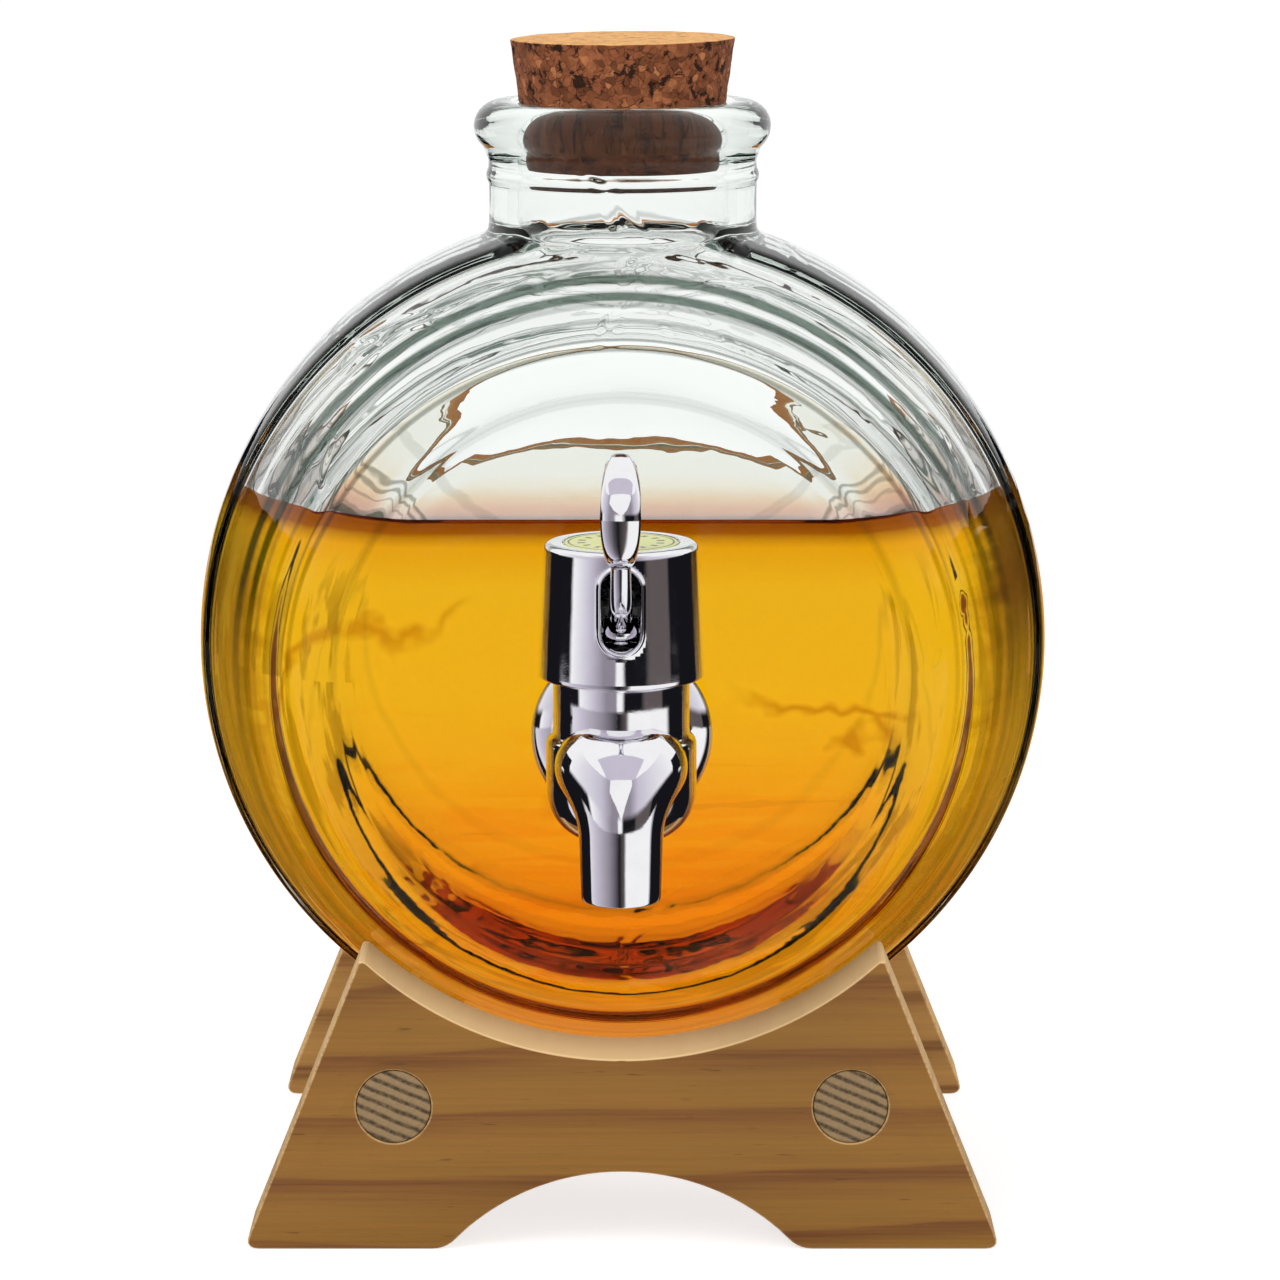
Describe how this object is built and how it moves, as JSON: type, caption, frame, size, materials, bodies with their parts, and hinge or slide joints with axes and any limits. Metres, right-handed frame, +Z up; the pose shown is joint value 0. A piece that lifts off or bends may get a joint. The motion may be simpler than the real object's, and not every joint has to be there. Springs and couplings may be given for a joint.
{
  "type": "glass barrel drink dispenser",
  "caption": "Clear glass barrel with a corked neck lying in a splayed pine stand, with a chromed lever tap through its front head.",
  "frame": {"origin": "on the floor under the middle of the whole object's box", "axes": "+Z up, +X to the right across the front, and the tap faces -Y"},
  "size_m": [0.1424, 0.153, 0.1934],
  "materials": {
    "pine": "bare sawn pine with straight grain, smooth sanded",
    "dowel_pine": "bare pine, end grain showing at both ends",
    "glass": "clear pressed glass with soft ripples and a faint green edge",
    "cork": "natural cork, pitted and matt",
    "chrome": "mirror-bright chrome plating",
    "label": "printed pale yellow-green label",
    "steel": "plain drawn steel",
    "white_plastic": "natural white moulded plastic",
    "rubber": "black moulded rubber"
  },
  "bodies": {
    "stand": {"front_cradle_board": "pine", "rear_cradle_board": "pine", "left_dowel": "dowel_pine", "right_dowel": "dowel_pine"},
    "vessel": {"glass_barrel": "glass", "tap_body": "chrome", "tap_cap": "chrome", "cap_label_disc": "label", "lever_pin": "steel", "stem_guide": "white_plastic", "stem_o_ring": "rubber", "cap_o_ring": "rubber", "return_spring": "steel", "outer_gasket": "rubber", "inner_gasket": "rubber", "clamp_washer": "steel", "shank_nut": "white_plastic"},
    "cork": {"cork_stopper": "cork"},
    "lever": {"tap_lever": "chrome"},
    "stem": {"valve_stem": "white_plastic", "valve_seal": "rubber"}
  },
  "joints": [
    {"name": "barrel_lift", "type": "slide", "parent": "stand", "child": "vessel", "axis": [0, 0, 1], "range_m": [0, 0.06]},
    {"name": "cork_pull", "type": "slide", "parent": "vessel", "child": "cork", "axis": [0, 0, 1], "range_m": [0, 0.04]},
    {"name": "lever_tilt", "type": "hinge", "parent": "vessel", "child": "lever", "pos_m": [0, -0.0565, 0.1073], "axis": [1, 0, 0], "range_deg": [0, 40], "stiffness_Nm_per_rad": 0.0063, "springref_deg": -50.02},
    {"name": "stem_lift", "type": "slide", "parent": "vessel", "child": "stem", "axis": [0, 0, 1], "range_m": [0, 0.0032], "deforming": ["return_spring"]}
  ],
  "couplings": [
    {"joint": "stem_lift", "follows": "lever_tilt", "m_per_rad": 0.00458}
  ]
}
